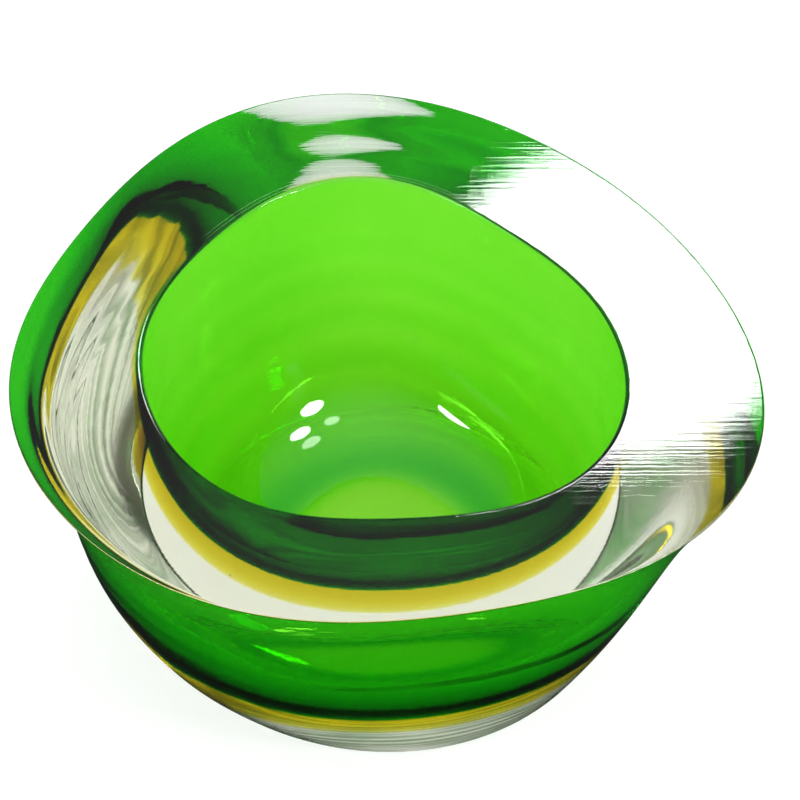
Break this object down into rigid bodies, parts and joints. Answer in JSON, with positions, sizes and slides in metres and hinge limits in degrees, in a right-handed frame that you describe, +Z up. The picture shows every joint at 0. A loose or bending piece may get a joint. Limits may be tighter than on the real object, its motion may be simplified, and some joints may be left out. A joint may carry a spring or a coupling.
{
  "type": "art glass bowl",
  "caption": "Heavy cased art glass bowl with a cut and polished rim: green cup over amber, in thick clear glass, on a flat ground base.",
  "frame": {"origin": "centre of the bowl's outline, on the plane of its flat ground base", "axes": "+Z up out of the opening, +X along the rim's longest width, +Y toward the back of the rim"},
  "size_m": [0.1492, 0.1474, 0.066],
  "materials": {
    "green_glass": "polished, transparent green",
    "amber_glass": "transparent amber",
    "clear_glass": "polished, clear, cut rim"
  },
  "bodies": {
    "root": {"green_cup": "green_glass", "amber_layer": "amber_glass", "clear_casing": "clear_glass"}
  },
  "joints": []
}
